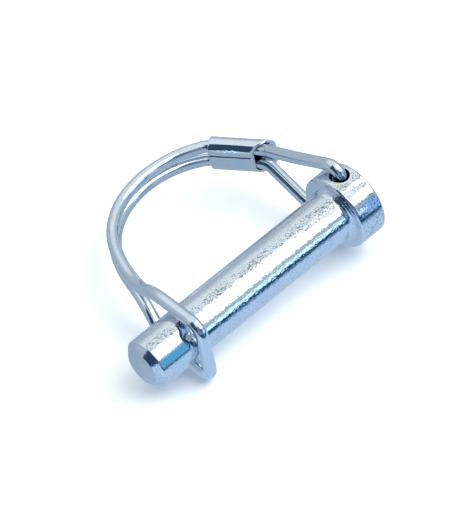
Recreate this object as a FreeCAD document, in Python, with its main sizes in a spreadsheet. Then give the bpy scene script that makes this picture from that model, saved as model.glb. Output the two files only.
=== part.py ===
import FreeCAD, Part
import math
import os

import Sketcher
from FreeCAD import Placement, Rotation, Vector

# Round-wire lock pin: a headed pin, a sprung wire ring hooked into the pin's head, and the sleeve crimped on the ring.
# Frame: millimetres, X along the pin from its tip to its head, Z square to the ring, Y from the pin out to the bow.
# Origin: on the pin's axis, at the face of the head that bears on the hitch.

NEAR = 0.01  # two places closer than this are the same place

doc = FreeCAD.newDocument("lock_pin")
sheet = doc.addObject("Spreadsheet::Sheet", "Sizes")

SIZES = [
    # pin
    ("pinDia", 10.0, "shank diameter"),
    ("shankLong", 48.5, "head face to tip"),
    ("tipFlatDia", 7.2, "flat at the tip"),
    ("tipChamferLong", 1.2, "chamfer measured along the pin"),
    ("tipEdgeRound", 0.35, "rounding where chamfer meets shank"),
    ("headDia", 15.1, "head diameter"),
    ("headLong", 6.0, "head thickness"),
    ("headEdgeRound", 0.5, "rounding on both rims of the head"),
    ("rootRound", 1.2, "fillet between shank and head"),
    ("hookHoleDia", 3.9, "cross hole for the ring's hooks"),
    # ring wire
    ("wireDia", 2.4, "spring wire diameter"),
    ("strandGap", 0.04, "gap between the two strands of the bow"),
    ("hookSetBack", 0.4, "hook leg behind the hole's axis"),
    ("hookEndHeight", 2.6, "hook end above the pin's axis"),
    ("hookTopHeight", 9.98, "arm and hook leg, produced, meet at this height"),
    ("hookBend", 2.1, "bend radius of the hook"),
    ("armKneeOut", 12.0, "gentle knee in the arm, distance from the hole"),
    ("armKneeHeight", 5.3, "height of that knee"),
    ("armKneeBend", 30.0, "bend radius of the knee"),
    ("bowCentreAlong", -14.5, "centre of the bow, along the pin"),
    ("bowCentreOut", 16.05, "centre of the bow, out from the pin"),
    ("bowBend", 19.5, "radius of the bow"),
    ("bowClosingBend", 19.35, "a little less where the strands close up, as that part is tilted"),
    ("bowStartAngle", 56.0, "bow arc starts, counted from the head direction"),
    ("bowMidAngle", 102.0, "strands are together from here on"),
    ("bowFlatAngle", 150.0, "bow arc ends and the flatter leg begins"),
    ("legBend", 33.7, "radius of the flatter leg"),
    ("legEndAngle", 163.4, "leg runs straight from here"),
    ("splayOut", 13.6, "strands part here, distance from the pin's axis"),
    ("splayBend", 14.0, "bend radius where the strands part"),
    ("loopKneeOut", 7.2, "strand levels off here, beside the pin"),
    ("loopKneeBend", 9.5, "bend radius of that knee"),
    ("loopAlong", -38.8, "closed end of the loop, along the pin"),
    ("loopPlay", 0.25, "play between the loop and the shank"),
    ("loopBend", 2.5, "bend radius of the loop's corners"),
    # ferrule
    ("sleeveWall", 0.6, "sheet thickness"),
    ("sleeveFit", 0.18, "room round each wire"),
    ("sleevePitch", 3.4, "distance between the two wires in the sleeve"),
    ("sleeveAngle", -59.0, "direction of the sleeve from bow to head"),
    ("sleeveLead", 1.2, "straight wire between bow arc and sleeve bend"),
    ("sleeveMouth", 1.0, "sleeve mouth behind the bend in the wires"),
    ("sleeveMouthBend", 4.5, "bend radius of the wires at the mouth"),
    ("sleeveShort", 8.3, "length of the sleeve on the pin side"),
    ("sleeveLong", 12.4, "length of the sleeve on the outer side"),
    ("sleeveExit", 10.7, "mouth to the bend where the arms part"),
    ("sleeveExitBend", 4.5, "bend radius of the arms there"),
    ("sleeveEdgeRound", 0.25, "rounded rim at the mouth"),
    ("sleeveCreaseRound", 0.4, "rounding in the crease between the two lobes"),
]
for row, (alias, value, note) in enumerate(SIZES, start=1):
    sheet.set("A%d" % row, alias)
    sheet.set("B%d" % row, repr(value))
    sheet.set("C%d" % row, note)
    sheet.setAlias("B%d" % row, alias)
doc.recompute()


def size(alias):
    return float(getattr(sheet, alias))


def origin_plane(body, role):
    return next(o for o in body.Origin.OriginFeatures if o.Role == role)


def plane_sketch(body, name, role):
    sketch = body.newObject("Sketcher::SketchObject", name)
    sketch.AttachmentSupport = [(origin_plane(body, role), "")]
    sketch.MapMode = "FlatFace"
    return sketch


def add_outline(sketch, corners):
    # closed outline of straight sides; each corner is (x, x formula, y, y formula), and a formula of None keeps it at 0
    count = len(corners)
    for i, corner in enumerate(corners):
        after = corners[(i + 1) % count]
        sketch.addGeometry(Part.LineSegment(Vector(corner[0], corner[2], 0), Vector(after[0], after[2], 0)), False)
    for i in range(count):
        sketch.addConstraint(Sketcher.Constraint("Coincident", i, 2, (i + 1) % count, 1))
    for i, (x, x_formula, y, y_formula) in enumerate(corners):
        for kind, value, formula in (("DistanceX", x, x_formula), ("DistanceY", y, y_formula)):
            if formula is None:
                axis = -2 if kind == "DistanceX" else -1
                sketch.addConstraint(Sketcher.Constraint("PointOnObject", i, 1, axis))
            else:
                number = sketch.addConstraint(Sketcher.Constraint(kind, -1, 1, i, 1, value))
                sketch.setExpression("Constraints[%d]" % number, formula)


def cut_through(body, sketch, name):
    pocket = body.newObject("PartDesign::Pocket", name)
    pocket.Profile = sketch
    pocket.Type = "ThroughAll"
    pocket.SideType = "Symmetric"
    sketch.Visibility = False
    doc.recompute()


def round_off(body, name, alias, wanted):
    # fillet on those edges of the body so far for which wanted(edge) holds
    base = body.Tip
    edges = ["Edge%d" % number for number, edge in enumerate(base.Shape.Edges, start=1) if wanted(edge)]
    fillet = body.newObject("PartDesign::Fillet", name)
    fillet.Base = (base, edges)
    fillet.setExpression("Radius", "Sizes." + alias)
    doc.recompute()


def is_rim(edge, places):
    # a round edge at one of the (distance along X, radius) places
    curve = edge.Curve
    if not isinstance(curve, Part.Circle):
        return False
    return any(abs(curve.Center.x - along) < NEAR and abs(curve.Radius - rim) < NEAR for along, rim in places)


def make_pin():
    body = doc.addObject("PartDesign::Body", "lock_pin")
    body.Label = "lock_pin"
    profile = plane_sketch(body, "pin_profile", "XY_Plane")
    radius, head, tip = size("pinDia") / 2, size("headDia") / 2, size("tipFlatDia") / 2
    reach, chamfer, thick = size("shankLong"), size("tipChamferLong"), size("headLong")
    add_outline(profile, [
        (-reach, "-Sizes.shankLong", 0, None),
        (-reach, "-Sizes.shankLong", tip, "Sizes.tipFlatDia / 2"),
        (-reach + chamfer, "Sizes.tipChamferLong - Sizes.shankLong", radius, "Sizes.pinDia / 2"),
        (0, None, radius, "Sizes.pinDia / 2"),
        (0, None, head, "Sizes.headDia / 2"),
        (thick, "Sizes.headLong", head, "Sizes.headDia / 2"),
        (thick, "Sizes.headLong", 0, None),
    ])
    turned = body.newObject("PartDesign::Revolution", "pin_turned")
    turned.Profile = profile
    turned.ReferenceAxis = (profile, ["H_Axis"])
    turned.Angle = 360
    profile.Visibility = False
    doc.recompute()

    for name, places, alias in (
        ("head_rims", [(0, head), (thick, head)], "headEdgeRound"),
        ("root_fillet", [(0, radius)], "rootRound"),
        ("tip_edge", [(-reach + chamfer, radius)], "tipEdgeRound"),
    ):
        round_off(body, name, alias, lambda edge: is_rim(edge, places))

    hole_sketch = plane_sketch(body, "hook_hole_sketch", "XY_Plane")
    hole_sketch.addGeometry(Part.Circle(Vector(thick / 2, 0, 0), Vector(0, 0, 1), size("hookHoleDia") / 2), False)
    hole_sketch.addConstraint(Sketcher.Constraint("PointOnObject", 0, 3, -1))
    along = hole_sketch.addConstraint(Sketcher.Constraint("DistanceX", -1, 1, 0, 3, thick / 2))
    hole_sketch.setExpression("Constraints[%d]" % along, "Sizes.headLong / 2")
    across = hole_sketch.addConstraint(Sketcher.Constraint("Diameter", 0, size("hookHoleDia")))
    hole_sketch.setExpression("Constraints[%d]" % across, "Sizes.hookHoleDia")
    cut_through(body, hole_sketch, "hook_hole")
    body.Placement = Placement(Vector(0, 0, 0), Rotation())
    doc.recompute()
    return body


def polar(centre, radius, degrees, height):
    angle = math.radians(degrees)
    return Vector(centre.x + radius * math.cos(angle), centre.y + radius * math.sin(angle), height)


def arc_corner(centre, radius, start, end, height):
    # where the tangents at the two ends of an arc meet
    half = math.radians(end - start) / 2
    return polar(centre, radius / math.cos(half), (start + end) / 2, height)


def sleeve_direction():
    return polar(Vector(0, 0, 0), 1, size("sleeveAngle"), 0)


def mouth_corner():
    # the wires bend here, just outside the sleeve's mouth
    centre = Vector(size("bowCentreAlong"), size("bowCentreOut"), 0)
    touch = polar(centre, size("bowBend"), size("bowStartAngle"), 0)
    return touch + polar(Vector(0, 0, 0), size("sleeveLead"), size("bowStartAngle") - 90, 0)


def half_ring_corners():
    # (corner, bend radius) from the hook's end to the middle of the loop's closed end, for the upper strand
    hole_along = size("headLong") / 2
    together = (size("wireDia") + size("strandGap")) / 2
    apart = size("sleevePitch") / 2
    beside = (size("pinDia") + size("wireDia")) / 2 + size("loopPlay")
    centre = Vector(size("bowCentreAlong"), size("bowCentreOut"), 0)
    start, middle, flat = size("bowStartAngle"), size("bowMidAngle"), size("bowFlatAngle")
    leg_centre = polar(centre, size("bowBend") - size("legBend"), flat, 0)
    leg_end = polar(leg_centre, size("legBend"), size("legEndAngle"), together)
    leg_way = polar(Vector(0, 0, 0), 1, size("legEndAngle") + 90, 0)
    up = Vector(0, 0, 1)
    mouth = mouth_corner()
    splay = leg_end + leg_way * ((leg_end.y - size("splayOut")) / -leg_way.y)
    knee = leg_end + leg_way * ((leg_end.y - size("loopKneeOut")) / -leg_way.y)
    knee.z = beside
    back = -size("hookSetBack")
    return [
        (Vector(hole_along, back, size("hookEndHeight")), 0),
        (Vector(hole_along, back, size("hookTopHeight")), size("hookBend")),
        (Vector(hole_along, size("armKneeOut"), size("armKneeHeight")), size("armKneeBend")),
        (mouth + sleeve_direction() * (size("sleeveMouth") + size("sleeveExit")) + up * apart, size("sleeveExitBend")),
        (mouth + up * apart, size("sleeveMouthBend")),
        (arc_corner(centre, size("bowBend"), start, middle, together), size("bowClosingBend")),
        (arc_corner(centre, size("bowBend"), middle, flat, together), size("bowBend")),
        (arc_corner(leg_centre, size("legBend"), flat, size("legEndAngle"), together), size("legBend")),
        (splay, size("splayBend")),
        (knee, size("loopKneeBend")),
        (Vector(size("loopAlong"), -beside, beside), size("loopBend")),
    ]


def bent_line(corners):
    # straight runs joined by arcs that touch them
    edges = []
    here = corners[0][0]
    for (before, _), (corner, radius), (after, _) in zip(corners, corners[1:], corners[2:]):
        way_in = (corner - before).normalize()
        way_out = (after - corner).normalize()
        turn = way_in.getAngle(way_out)
        reach = radius * math.tan(turn / 2)
        enter = corner - way_in * reach
        leave = corner + way_out * reach
        middle = corner + (way_out - way_in).normalize() * (radius / math.cos(turn / 2) - radius)
        if (enter - here).dot(way_in) < -1e-4:
            raise ValueError("bends overlap near %s" % corner)
        if (enter - here).Length > 1e-3:
            edges.append(Part.LineSegment(here, enter).toShape())
        else:
            enter = here
        edges.append(Part.Arc(enter, middle, leave).toShape())
        here = leave
    edges.append(Part.LineSegment(here, corners[-1][0]).toShape())
    return Part.Wire(edges)


def make_ring():
    # one wire: hook, arm, strand, loop round the pin, and back again as the mirror image
    upper = half_ring_corners()
    lower = [(Vector(p.x, p.y, -p.z), r) for p, r in reversed(upper)]
    centreline = doc.addObject("Part::Feature", "ring_centreline")
    centreline.Shape = bent_line(upper + lower)
    centreline.Visibility = False
    section = doc.addObject("Part::Circle", "ring_section")
    section.setExpression("Radius", "Sizes.wireDia / 2")
    section.setExpression("Placement.Base.x", "Sizes.headLong / 2")
    section.setExpression("Placement.Base.y", "-Sizes.hookSetBack")
    section.setExpression("Placement.Base.z", "Sizes.hookEndHeight")
    section.Visibility = False
    doc.recompute()
    ring = doc.addObject("Part::Sweep", "ring_wire")
    ring.Label = "ring_wire"
    ring.Sections = [section]
    ring.Spine = (centreline, ["Edge%d" % (i + 1) for i in range(len(centreline.Shape.Edges))])
    ring.Solid = True
    ring.Frenet = False
    ring.Placement = Placement(Vector(0, 0, 0), Rotation())
    doc.recompute()
    return ring


def add_lobe(sketch, number, sign, radius, radius_formula):
    # a circle round one wire: above the middle for sign 1, below for -1
    height = sign * size("sleevePitch") / 2
    sketch.addGeometry(Part.Circle(Vector(0, height, 0), Vector(0, 0, 1), radius), False)
    sketch.addConstraint(Sketcher.Constraint("PointOnObject", number, 3, -2))
    place = sketch.addConstraint(Sketcher.Constraint("DistanceY", -1, 1, number, 3, height))
    sketch.setExpression("Constraints[%d]" % place, "%d * Sizes.sleevePitch / 2" % sign)
    wide = sketch.addConstraint(Sketcher.Constraint("Radius", number, radius))
    sketch.setExpression("Constraints[%d]" % wide, radius_formula)


def add_between_lobes(sketch, reach, reach_formula):
    # a rectangle from the middle of the sleeve to its outer side, as high as the distance between the two wires
    half = size("sleevePitch") / 2
    add_outline(sketch, [
        (0, None, -half, "-Sizes.sleevePitch / 2"),
        (reach, reach_formula, -half, "-Sizes.sleevePitch / 2"),
        (reach, reach_formula, half, "Sizes.sleevePitch / 2"),
        (0, None, half, "Sizes.sleevePitch / 2"),
    ])


def pad_sleeve(body, sketch, name):
    pad = body.newObject("PartDesign::Pad", name)
    pad.Profile = sketch
    pad.setExpression("Length", "Sizes.sleeveLong")
    sketch.Visibility = False
    doc.recompute()


def is_crease(edge):
    # the straight line where the two lobes meet on the side towards the pin
    return isinstance(edge.Curve, Part.Line) and abs(edge.CenterOfMass.y) < NEAR and edge.CenterOfMass.x < -NEAR


def make_sleeve():
    # drawn along its own Z from the mouth; its Y becomes the height over the ring's plane, its X points out of the bow
    body = doc.addObject("PartDesign::Body", "crimp_sleeve")
    body.Label = "crimp_sleeve"
    bore = size("wireDia") / 2 + size("sleeveFit")
    bore_formula = "Sizes.wireDia / 2 + Sizes.sleeveFit"
    outside = bore + size("sleeveWall")
    outside_formula = bore_formula + " + Sizes.sleeveWall"
    for name, sign in (("upper_lobe", 1), ("lower_lobe", -1)):
        sketch = plane_sketch(body, name + "_sketch", "XY_Plane")
        add_lobe(sketch, 0, sign, outside, outside_formula)
        pad_sleeve(body, sketch, name)
    outer_side = plane_sketch(body, "outer_side_sketch", "XY_Plane")
    add_between_lobes(outer_side, outside, outside_formula)
    pad_sleeve(body, outer_side, "outer_side")

    round_off(body, "crease", "sleeveCreaseRound", is_crease)
    round_off(body, "mouth_rim", "sleeveEdgeRound", lambda edge: abs(edge.BoundBox.ZMax) < NEAR)

    bores = plane_sketch(body, "bores_sketch", "XY_Plane")
    add_lobe(bores, 0, 1, bore, bore_formula)
    add_lobe(bores, 1, -1, bore, bore_formula)
    cut_through(body, bores, "bores")

    throat = plane_sketch(body, "throat_sketch", "XY_Plane")
    add_between_lobes(throat, bore, bore_formula)
    cut_through(body, throat, "throat")

    slant = plane_sketch(body, "slant_sketch", "XZ_Plane")
    middle = (size("sleeveShort") + size("sleeveLong")) / 2
    rise = size("sleeveLong") - size("sleeveShort")
    middle_formula = "(Sizes.sleeveShort + Sizes.sleeveLong) / 2"
    rise_formula = "(Sizes.sleeveLong - Sizes.sleeveShort)"
    near, far = "-2 * (%s)" % outside_formula, "2 * (%s)" % outside_formula
    low, high_end = "%s - %s" % (middle_formula, rise_formula), "%s + %s" % (middle_formula, rise_formula)
    add_outline(slant, [
        (-2 * outside, near, middle - rise, low),
        (2 * outside, far, middle + rise, high_end),
        (-2 * outside, near, middle + rise, high_end),
    ])
    cut_through(body, slant, "slanted_end")

    mouth = mouth_corner() + sleeve_direction() * size("sleeveMouth")
    turn = Rotation(Vector(0, 0, 1), size("sleeveAngle") + 90) * Rotation(Vector(1, 0, 0), 90)
    body.Placement = Placement(mouth, turn)
    doc.recompute()
    return body


def check_and_write(parts):
    for thing in doc.Objects:
        if "Invalid" in thing.State or "Error" in thing.State:
            raise RuntimeError("%s did not build: %s" % (thing.Name, thing.State))
    for part in parts:
        if part.Shape.isNull() or not part.Shape.isValid() or len(part.Shape.Solids) != 1:
            raise RuntimeError("%s is not one valid solid" % part.Label)
    os.makedirs("parts", exist_ok=True)
    for part in parts:
        part.Shape.exportStep("parts/%s.step" % part.Label)


check_and_write([make_pin(), make_ring(), make_sleeve()])
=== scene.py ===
import math

import bmesh
import bpy
from mathutils import Matrix, Vector


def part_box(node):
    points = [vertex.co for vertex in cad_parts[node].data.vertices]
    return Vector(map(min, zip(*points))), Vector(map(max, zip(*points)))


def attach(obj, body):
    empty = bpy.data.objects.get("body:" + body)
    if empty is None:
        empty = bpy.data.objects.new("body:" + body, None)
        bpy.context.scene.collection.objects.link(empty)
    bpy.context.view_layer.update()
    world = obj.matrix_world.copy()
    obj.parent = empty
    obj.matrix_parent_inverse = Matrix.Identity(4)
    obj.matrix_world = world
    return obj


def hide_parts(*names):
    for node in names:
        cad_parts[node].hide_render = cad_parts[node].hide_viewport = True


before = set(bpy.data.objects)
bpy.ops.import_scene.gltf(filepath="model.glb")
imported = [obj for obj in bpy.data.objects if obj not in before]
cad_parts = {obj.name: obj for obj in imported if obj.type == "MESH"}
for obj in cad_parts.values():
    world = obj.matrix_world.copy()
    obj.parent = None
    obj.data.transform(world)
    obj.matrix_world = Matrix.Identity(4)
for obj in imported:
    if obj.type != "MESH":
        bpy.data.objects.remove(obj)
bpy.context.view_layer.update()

MM = 0.001

# Ends of the pin along X; the face of its head that meets the shank is at 0
PIN_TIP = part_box("lock_pin")[0].x
PIN_HEAD_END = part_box("lock_pin")[1].x

# Camera: where it stands round the part, in the frame's axes
CAMERA_AZIMUTH = -34.57
CAMERA_ELEVATION = 43.58
CAMERA_ROLL = -13.24
CAMERA_DISTANCE = 0.577
CAMERA_AIM = Vector((-17.4, 9.2, -3.4)) * MM
CAMERA_LENS = 240.7
SENSOR = 36.0


# ---------------------------------------------------------------- node helpers

class Nodes:
    """Short calls for building a node tree."""

    def __init__(self, tree):
        self.tree = tree
        tree.nodes.clear()

    def add(self, kind, inputs=None, **settings):
        node = self.tree.nodes.new(kind)
        for name, value in settings.items():
            setattr(node, name, value)
        for name, value in (inputs or {}).items():
            self.put(node, name, value)
        return node

    def put(self, node, name, value):
        """Links a socket, or sets a plain value."""
        socket = node.inputs[name]
        if isinstance(value, bpy.types.NodeSocket):
            self.tree.links.new(value, socket)
        else:
            socket.default_value = value

    def math(self, operation, a, b=0.0):
        node = self.add("ShaderNodeMath", operation=operation)
        self.put(node, 0, a)
        self.put(node, 1, b)
        return node.outputs[0]

    def dot(self, a, b):
        node = self.add("ShaderNodeVectorMath", {0: a, 1: tuple(b)}, operation="DOT_PRODUCT")
        return node.outputs["Value"]

    def stretch(self, vector, shape):
        node = self.add("ShaderNodeVectorMath", {0: vector, 1: shape}, operation="MULTIPLY")
        return node.outputs["Vector"]

    def along_x(self, vector):
        return self.add("ShaderNodeSeparateXYZ", {0: vector}).outputs[0]

    def ramp(self, value, low, high, out_low=0.0, out_high=1.0):
        """A smooth step from out_low at low to out_high at high."""
        node = self.add("ShaderNodeMapRange", interpolation_type="SMOOTHSTEP")
        for name, number in zip(("Value", "From Min", "From Max", "To Min", "To Max"),
                                (value, low, high, out_low, out_high)):
            self.put(node, name, number)
        return node.outputs["Result"]

    def mix(self, share, a, b):
        """Colour a at share 0 and colour b at share 1."""
        node = self.add("ShaderNodeMix", data_type="RGBA")
        self.put(node, 0, share)
        for index, value in ((6, a), (7, b)):
            if isinstance(value, bpy.types.NodeSocket):
                self.tree.links.new(value, node.inputs[index])
            else:
                node.inputs[index].default_value = (*value, 1.0)
        return node.outputs[2]

    def noise(self, vector, scale, detail=2.0, roughness=0.5):
        node = self.add("ShaderNodeTexNoise", {
            "Vector": vector, "Scale": scale, "Detail": detail, "Roughness": roughness,
        })
        return node.outputs["Fac"]


def new_material(name):
    """A material with an empty node tree, and its tree."""
    material = bpy.data.materials.new(name)
    material.use_nodes = True
    return material, Nodes(material.node_tree)


def new_object(name, mesh):
    thing = bpy.data.objects.new(name, mesh)
    bpy.context.scene.collection.objects.link(thing)
    return thing


# ---------------------------------------------------------------- the plane it stands on

def resting_plane():
    """The face of the convex hull that the part stands on: (normal pointing up, a point)."""
    steepest = -0.9
    hull = bmesh.new()
    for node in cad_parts.values():
        for vertex in node.data.vertices:
            hull.verts.new(vertex.co)
    faces = bmesh.ops.convex_hull(hull, input=hull.verts)["geom"]
    pin_low, pin_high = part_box("lock_pin")
    centre = (pin_low + pin_high) / 2
    standing = []
    for face in faces:
        if not isinstance(face, bmesh.types.BMFace) or face.normal.z > steepest:
            continue
        corners = [vertex.co.copy() for vertex in face.verts]
        below = centre + face.normal * (corners[0] - centre).dot(face.normal)
        ends = corners[1:] + corners[:1]
        sides = [(b - a).cross(below - a).dot(face.normal) for a, b in zip(corners, ends)]
        standing.append((min(sides), -face.normal.copy(), corners[0]))
    hull.free()
    _, normal, point = max(standing, key=lambda entry: entry[0])
    return normal, point


FLOOR_UP, FLOOR_POINT = resting_plane()


# ---------------------------------------------------------------- zinc plating

# Noise scales, in features per metre
CLOUD_SCALE = 160.0
STAIN_SCALE = 420.0
PIT_CLUSTER_SCALE = 500.0
GRAIN_SCALE = 3200.0
PIT_SCALE = 4200.0

# Passivation tints, the colour of rubbed edges, and how dark a pit is against the zinc
COOL_TINT = (0.93, 0.99, 1.05)
STAIN = (0.72, 0.72, 0.86)
RUBBED_EDGE = (0.92, 0.94, 0.96)
PIT_SHADE = 0.22

# The pin's crown, which carries most marks, faces this way; the head and the tip are finished smoother
CROWN = (0.0, -0.32, 0.947)
SMOOTH_SHARE = 0.4
TIP_SMOOTH_END = PIN_TIP + 12.5 * MM
SHANK_GRAIN_START = PIN_TIP + 15.5 * MM

ZINC = (0.76, 0.80, 0.86)
WIRE_ZINC = (0.74, 0.79, 0.85)


def plated_colour(n, place, cloud, colour):
    """The zinc's colour: two soft tints over the base."""
    cool = n.mix(n.ramp(cloud, 0.35, 0.7), colour, tuple(c * f for c, f in zip(colour, COOL_TINT)))
    stained = n.ramp(n.noise(place, STAIN_SCALE, 2.0), 0.6, 0.8, 0.0, 0.35)
    return n.mix(stained, cool, STAIN)


def marked_colour(n, place, grain_shape, colour, speckle, tinted):
    """Adds fine dark pits, most on the crown and round the head, fewer on the head's flat ends."""
    pits = n.noise(n.stretch(place, grain_shape), PIT_SCALE, 1.0)
    pitted = n.math("ADD", pits, n.math("MULTIPLY", n.noise(place, PIT_CLUSTER_SCALE, 2.0), 0.35))
    facing = n.add("ShaderNodeNewGeometry").outputs["True Normal"]
    crown = n.ramp(n.dot(facing, CROWN), 0.955, 0.995)
    round_side = n.ramp(n.math("ABSOLUTE", n.along_x(facing)), 0.5, 0.9, 0.6, 0.1)
    on_head = n.math("MULTIPLY", n.ramp(n.along_x(place), -1 * MM, 2 * MM), round_side)
    handled = n.math("MAXIMUM", on_head, crown)
    depth = n.math("MULTIPLY", n.ramp(pitted, 0.68, 0.80), n.ramp(handled, 0.0, 1.0, speckle, speckle * 4))
    return n.mix(depth, tinted, tuple(c * PIT_SHADE for c in colour))


def grain_bump(n, place, speck, drawn, grain):
    """The plating's fine bump with drawn or turned lines; shallower on the head and at the tip."""
    lines = n.noise(n.stretch(place, drawn), 1.0, 3.0, 0.65)
    height = n.math("ADD", speck, n.math("MULTIPLY", lines, 0.15))
    along = n.along_x(place)
    off_head = n.ramp(along, -0.5 * MM, 0.5 * MM, 1.0, SMOOTH_SHARE)
    off_tip = n.ramp(along, TIP_SMOOTH_END, SHANK_GRAIN_START, SMOOTH_SHARE, 1.0)
    depth = n.math("MULTIPLY", n.math("MINIMUM", off_head, off_tip), grain)
    bump = n.add("ShaderNodeBump", {"Strength": 1.0, "Distance": depth, "Height": height})
    return bump.outputs["Normal"]


def zinc(name, colour, grain, grain_shape, drawn, roughness, speckle):
    """Bright zinc plating: fine grain, turned or drawn lines, faint tints, pits and rubbed edges."""
    material, n = new_material(name)
    place = n.add("ShaderNodeTexCoord").outputs["Object"]
    cloud = n.noise(place, CLOUD_SCALE, 3.0, 0.6)
    speck = n.noise(n.stretch(place, grain_shape), GRAIN_SCALE, 1.0)
    tinted = plated_colour(n, place, cloud, colour)
    marked = marked_colour(n, place, grain_shape, colour, speckle, tinted)
    edge = n.add("ShaderNodeNewGeometry").outputs["Pointiness"]
    worn = n.mix(n.ramp(edge, 0.53, 0.60, 0.0, 0.5), marked, RUBBED_EDGE)
    rough = n.math("ADD", n.ramp(cloud, 0.3, 0.75, roughness * 0.75, roughness * 1.25),
                   n.ramp(speck, 0.58, 0.8, 0.0, 0.06))
    surface = n.add("ShaderNodeBsdfPrincipled", {
        "Base Color": worn,
        "Metallic": 1.0,
        "Roughness": rough,
        "Normal": grain_bump(n, place, speck, drawn, grain),
    })
    n.add("ShaderNodeOutputMaterial", {"Surface": surface.outputs["BSDF"]})
    return material


def pin_zinc():
    """Turned steel: the lines run round the pin, and its grain is coarse."""
    return zinc("pin_zinc", ZINC, 0.033 * MM, (0.6, 1, 1), (300.0, 1500.0, 1500.0), 0.06, 0.2)


def wire_zinc():
    """Drawn wire: smooth, with hardly a mark."""
    return zinc("wire_zinc", WIRE_ZINC, 0.008 * MM, (1, 1, 1), (600.0, 600.0, 600.0), 0.10, 0.05)


def sheet_zinc():
    """Pressed sheet: as smooth as the wire and a little brighter."""
    return zinc("pressed_zinc", ZINC, 0.010 * MM, (1, 1, 1), (600.0, 600.0, 600.0), 0.08, 0.05)


def dress(node, material):
    """Puts the material on the whole of a CAD node."""
    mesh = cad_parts[node].data
    mesh.materials.clear()
    mesh.materials.append(material)
    for polygon in mesh.polygons:
        polygon.material_index = 0


# ---------------------------------------------------------------- crimped sleeve

SLEEVE_ANGLE = -59.0
WIRE_PITCH = 3.4 * MM
SHEET = 0.6 * MM
RIM_ROUND = 0.14 * MM
SLEEVE_STEPS = 20
SLEEVE_SHARP = 50.0

# Section: the upper lobe ends at the crease, below it the sheet bulges less than the lower wire's lobe
CREASE_TURN = 195.0
CREASE_WIDE = 0.22 * MM
CREASE_DEEP = 0.20 * MM
BULGE_RADIUS = 4.1 * MM
BULGE_TURNS = (160.0, 220.0)
BULGE_LIP = 0.03 * MM

# Dent in the upper lobe: how deep, at which turn round the lobe and how wide
DENT_DEEP = 0.13 * MM
DENT_TURN = 158.0
DENT_SPREAD = 22.0


def arc(x, y, radius, start, end, count):
    """Points on an arc, from start to end in degrees, both included."""
    turns = [math.radians(start + (end - start) * i / (count - 1)) for i in range(count)]
    return [(x + radius * math.cos(turn), y + radius * math.sin(turn)) for turn in turns]


def sleeve_outline(radius):
    """The sheet's outside seen along the wires: x points out of the bow, y up; the crease faces the pin."""
    half = WIRE_PITCH / 2
    end = math.radians(CREASE_TURN)
    lip = (radius * math.cos(end), half + radius * math.sin(end))
    turn = math.radians(BULGE_TURNS[0])
    bulge_x = lip[0] + BULGE_LIP - BULGE_RADIUS * math.cos(turn)
    bulge_y = lip[1] - CREASE_WIDE - BULGE_RADIUS * math.sin(turn)
    outline = arc(0, half, radius, 0, CREASE_TURN, 34)
    for inward, down in ((0.10 * MM, 0.07 * MM), (CREASE_DEEP, 0.12 * MM), (0.10 * MM, 0.17 * MM)):
        outline.append((lip[0] + inward, lip[1] - down))
    outline += arc(bulge_x, bulge_y, BULGE_RADIUS, *BULGE_TURNS, 16)
    outline += arc(0, -half, radius, 250, 360, 16)
    outline += [(radius, half * step / 4) for step in range(-3, 4)]
    return outline


def inner_point(point, bore):
    """The point of the racetrack round the two wires that lies nearest a point of the outside."""
    middle = max(-WIRE_PITCH / 2, min(WIRE_PITCH / 2, point[1]))
    way = Vector((point[0], point[1] - middle)).normalized()
    return Vector((way.x * bore, middle + way.y * bore))


def dented(point, share):
    """Pushes the upper lobe in, most halfway along the sleeve, where the press held it."""
    height = point[1] - WIRE_PITCH / 2
    turn = math.degrees(math.atan2(height, point[0])) % 360
    if turn > CREASE_TURN + 1 or point[1] < 0:
        return Vector(point)
    depth = DENT_DEEP * math.sin(math.pi * share) * math.exp(-((turn - DENT_TURN) / DENT_SPREAD) ** 2)
    scale = 1 - depth / math.hypot(point[0], height)
    return Vector((point[0] * scale, WIRE_PITCH / 2 + height * scale))


def sleeve_stations():
    """(distance in from the sheet's face, share of the length, distance along) from the mouth to the end."""
    rim = [(0.0, RIM_ROUND), (0.3 * RIM_ROUND, 0.3 * RIM_ROUND), (RIM_ROUND, 0.0)]
    stations = [(inset, 0.0, back) for inset, back in reversed(rim)]
    stations += [(0.0, step / SLEEVE_STEPS, 0.0) for step in range(1, SLEEVE_STEPS)]
    stations += [(inset, 1.0, -back) for inset, back in rim]
    return stations


def sleeve_loops():
    """Loops of points along the sleeve's outside and back through its bore, placed from the CAD sleeve."""
    turn = math.radians(SLEEVE_ANGLE)
    along = Vector((math.cos(turn), math.sin(turn), 0))
    out = Vector((-math.sin(turn), math.cos(turn), 0))
    corners = [vertex.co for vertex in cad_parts["crimp_sleeve"].data.vertices]
    low, high = min(c.dot(along) for c in corners), max(c.dot(along) for c in corners)
    near, far = min(c.dot(out) for c in corners), max(c.dot(out) for c in corners)
    radius = (far - near) / 2
    short = max(c.dot(along) for c in corners if c.dot(out) < near + 0.05 * MM) - low
    slope = (high - low - short) / (2 * radius)
    outside = sleeve_outline(radius)
    inside = [inner_point(point, radius - SHEET) for point in outside]
    stations = sleeve_stations()
    loops = []
    for inner, order in ((False, stations), (True, reversed(stations))):
        for inset, share, back in order:
            loop = []
            for face, bored in zip(outside, inside):
                start = dented(face, share)
                wall = bored - start
                move = inset / wall.length
                spot = start + wall * (1 - move if inner else move)
                length = share * (short + slope * (spot.x + radius)) + back
                across = out * ((near + far) / 2 + spot.x)
                loop.append(across + Vector((0, 0, spot.y)) + along * (low + length))
            loops.append(loop)
    return loops


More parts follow.
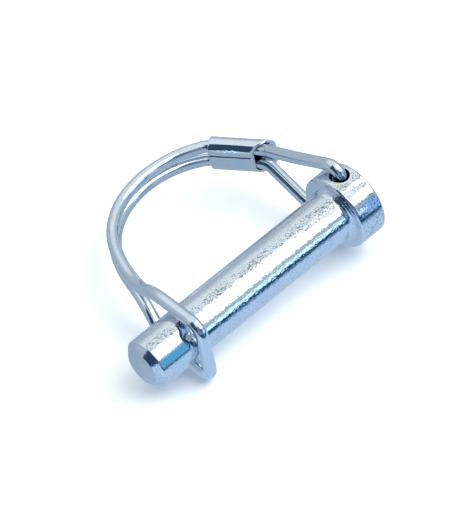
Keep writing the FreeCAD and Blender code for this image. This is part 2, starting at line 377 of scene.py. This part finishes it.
def make_sleeve():
    """The sleeve as pressed sheet with a crease and thin rolled rims; it stands for the plain CAD sleeve."""
    loops = sleeve_loops()
    count = len(loops[0])
    vertices = [spot for loop in loops for spot in loop]
    faces = []
    for i in range(len(loops)):
        j = (i + 1) % len(loops)
        for k in range(count):
            m = (k + 1) % count
            faces.append((i * count + k, i * count + m, j * count + m, j * count + k))
    mesh = bpy.data.meshes.new("pressed_sleeve")
    mesh.from_pydata(vertices, [], faces)
    mesh.shade_smooth()
    mesh.set_sharp_from_angle(angle=math.radians(SLEEVE_SHARP))
    mesh.materials.append(sheet_zinc())
    piece = new_object("pressed_sleeve", mesh)
    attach(piece, "ring")
    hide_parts("crimp_sleeve")


# ---------------------------------------------------------------- stage

# Floor: its colour to the camera and in soft light, then the painted reflection that reflections see of it
# instead of the lit paper, going away from the pin: painted shade under the pin, pale blue, then navy
PAPER_SEEN = (1.36, 1.36, 1.37)
PAPER_LIT = (0.85, 0.86, 0.88)
PAINTED_SHADE_UNDER_PIN = (0.38, 0.49, 0.60)
PAINTED_REFLECTION_NEAR = (0.53, 0.71, 0.94)
PAINTED_REFLECTION_FAR = (0.015, 0.09, 0.20)
FLOOR_HALF = 3.0

# Room colours that only reflections see
WALL = (0.49, 0.56, 0.61)
CEILING = (0.88, 0.95, 0.96)
DIM_WALL = (0.24, 0.29, 0.35)
DARK_DOOR = (0.03, 0.07, 0.12)
NAVY_DOOR = (0.09, 0.18, 0.30)
CYAN_STRIP = (0.98, 1.38, 1.40)
DARK_STRIP = (0.03, 0.06, 0.11)
BACKDROP = (0.93, 0.94, 0.96)
TIP_BLUE = (0.12, 0.44, 0.74)
HEAD_BLUE = (0.31, 0.52, 0.84)
HEAD_WHITE = (1.05, 1.10, 1.12)


def direction(azimuth, elevation):
    """Unit vector at an azimuth (0 is +X, 90 is +Y) and an elevation above the floor."""
    along = Vector((1, 0, 0))
    along = (along - FLOOR_UP * along.dot(FLOOR_UP)).normalized()
    across = FLOOR_UP.cross(along)
    a, e = math.radians(azimuth), math.radians(elevation)
    return (along * math.cos(a) + across * math.sin(a)) * math.cos(e) + FLOOR_UP * math.sin(e)


def paper():
    """White to the camera; reflections see a painted glow instead: painted shade under the pin, then pale
    blue, then navy.
    """
    material, n = new_material("paper")
    rays = n.add("ShaderNodeLightPath").outputs
    white = n.add("ShaderNodeBsdfDiffuse", {"Color": n.mix(rays["Is Camera Ray"], PAPER_LIT, PAPER_SEEN)})
    place = n.add("ShaderNodeNewGeometry").outputs["Position"]
    ahead = n.dot(place, direction(-90, 0))
    # Painted reflection: reflections see this glowing colour, not the lit paper, with painted shade under
    # the pin
    painted_under_and_near = n.mix(n.ramp(ahead, -10 * MM, 12 * MM), PAINTED_SHADE_UNDER_PIN, PAINTED_REFLECTION_NEAR)
    painted_reflection = n.mix(n.ramp(ahead, 21 * MM, 46 * MM), painted_under_and_near, PAINTED_REFLECTION_FAR)
    glow = n.add("ShaderNodeEmission", {"Color": painted_reflection, "Strength": 1.0})
    both = {0: rays["Is Glossy Ray"], 1: white.outputs[0], 2: glow.outputs[0]}
    surface = n.add("ShaderNodeMixShader", both)
    n.add("ShaderNodeOutputMaterial", {"Surface": surface.outputs[0]})
    return material


def make_floor():
    side = FLOOR_UP.cross(Vector((0, 1, 0))).normalized() * FLOOR_HALF
    other = FLOOR_UP.cross(side)
    mesh = bpy.data.meshes.new("floor")
    corners = [FLOOR_POINT + side * a + other * b for a, b in ((-1, -1), (1, -1), (1, 1), (-1, 1))]
    mesh.from_pydata(corners, [], [(0, 1, 2, 3)])
    mesh.materials.append(paper())
    new_object("floor", mesh)


def make_world():
    """A painted room: pale above, with the dark and coloured areas that show as bands on the zinc."""
    world = bpy.data.worlds.new("studio")
    bpy.context.scene.world = world
    world.use_nodes = True
    n = Nodes(world.node_tree)
    way = n.add("ShaderNodeTexCoord").outputs["Generated"]
    height = n.dot(way, FLOOR_UP)

    def patch(inside, azimuth, elevation, inner, outer, colour):
        """A round area, full inside the inner angle and gone at the outer one."""
        facing = n.dot(way, direction(azimuth, elevation))
        share = n.ramp(facing, math.cos(math.radians(outer)), math.cos(math.radians(inner)))
        return n.mix(share, inside, colour)

    def band(inside, azimuth, reach, low, high, soft, colour, side_soft=4):
        """A level strip between two elevations that reaches to both sides of an azimuth."""
        facing = n.dot(way, direction(azimuth, 0))
        sideways = n.ramp(facing, math.cos(math.radians(reach + side_soft)), math.cos(math.radians(reach)))
        low, high, soft = (math.sin(math.radians(angle)) for angle in (low, high, soft))
        above = n.ramp(height, low - soft, low + soft)
        below = n.ramp(height, high + soft, high - soft)
        share = n.math("MULTIPLY", sideways, n.math("MULTIPLY", above, below))
        return n.mix(share, inside, colour)

    sky = n.mix(n.ramp(height, 0.36, 0.80), WALL, CEILING)
    sky = band(sky, -118, 46, 0, 50, 4, DIM_WALL)
    sky = patch(sky, -170, 24, 24, 29, DARK_DOOR)
    sky = patch(sky, -178, 52, 8, 15, DARK_DOOR)
    sky = patch(sky, -96, 32, 17, 23, NAVY_DOOR)
    sky = band(sky, -58, 18, -30, 13, 1.5, CYAN_STRIP)
    sky = band(sky, 180, 22, -20, 13, 2, DARK_STRIP)
    lit = n.add("ShaderNodeBackground", {"Color": sky, "Strength": 1.0})
    plain = n.add("ShaderNodeBackground", {"Color": (*BACKDROP, 1), "Strength": 1.0})
    seen = n.add("ShaderNodeLightPath").outputs["Is Camera Ray"]
    both = n.add("ShaderNodeMixShader", {0: seen, 1: lit.outputs[0], 2: plain.outputs[0]})
    n.add("ShaderNodeOutputWorld", {"Surface": both.outputs[0]})


def make_card(name, start, azimuth, elevation, distance, wide, tall, colour):
    """A coloured card that only the part's reflections show; it faces the point it is measured from."""
    away = direction(azimuth, elevation)
    side = FLOOR_UP.cross(away).normalized() * wide / 2
    rise = away.cross(side.normalized()) * tall / 2
    centre = start + away * distance
    mesh = bpy.data.meshes.new(name)
    corners = [centre + side * a + rise * b for a, b in ((-1, -1), (1, -1), (1, 1), (-1, 1))]
    mesh.from_pydata(corners, [], [(0, 1, 2, 3)])
    material, n = new_material(name)
    glow = n.add("ShaderNodeEmission", {"Color": (*colour, 1.0), "Strength": 1.0})
    n.add("ShaderNodeOutputMaterial", {"Surface": glow.outputs[0]})
    mesh.materials.append(material)
    card = new_object(name, mesh)
    for ray in ("camera", "diffuse", "shadow", "transmission", "volume_scatter"):
        setattr(card, "visible_" + ray, False)


def make_cards():
    """Two blue cards low in front of the tip and the head, and a white one high in front of the head."""
    tip = Vector((PIN_TIP + 3.5 * MM, 0, 0))
    head = Vector((PIN_HEAD_END - 1.5 * MM, 0, 0))
    crown = head + Vector((0, -1, 7)) * MM
    make_card("tip_card", tip, -67.6, 9, 60 * MM, 11.5 * MM, 36 * MM, TIP_BLUE)
    make_card("head_card", head, -55, 7, 62 * MM, 30 * MM, 34 * MM, HEAD_BLUE)
    make_card("head_light", crown, -59, 60, 42 * MM, 14 * MM, 22 * MM, HEAD_WHITE)


def make_softbox(name, azimuth, elevation, distance, wide, tall, power, colour):
    """A rectangular area light that faces the part, with its width along the pin."""
    light = bpy.data.lights.new(name, "AREA")
    light.shape = "RECTANGLE"
    light.size = wide
    light.size_y = tall
    light.energy = power
    light.color = colour
    lamp = new_object(name, light)
    back = direction(azimuth, elevation)
    lamp.location = CAMERA_AIM + back * distance
    along = Vector((1, 0, 0))
    along = (along - back * along.dot(back)).normalized()
    lamp.rotation_mode = "QUATERNION"
    lamp.rotation_quaternion = Matrix((along, back.cross(along), back)).transposed().to_quaternion()


def make_camera():
    data = bpy.data.cameras.new("camera")
    data.sensor_fit = "HORIZONTAL"
    data.sensor_width = SENSOR
    data.lens = CAMERA_LENS
    camera = new_object("camera", data)
    a, e = math.radians(CAMERA_AZIMUTH), math.radians(CAMERA_ELEVATION)
    back = Vector((math.sin(a) * math.cos(e), -math.cos(a) * math.cos(e), math.sin(e)))
    camera.location = CAMERA_AIM + back * CAMERA_DISTANCE
    camera.rotation_mode = "QUATERNION"
    roll = Matrix.Rotation(math.radians(CAMERA_ROLL), 3, back)
    camera.rotation_quaternion = (roll @ back.to_track_quat("Z", "Y").to_matrix()).to_quaternion()
    bpy.context.scene.camera = camera


dress("lock_pin", pin_zinc())
dress("ring_wire", wire_zinc())
make_sleeve()
make_floor()
make_world()
make_cards()
make_softbox("key", -52, 51, 0.50, 0.50, 0.40, 1.4, (1.0, 0.99, 0.97))
make_camera()
bpy.context.scene.view_settings.view_transform = "Standard"
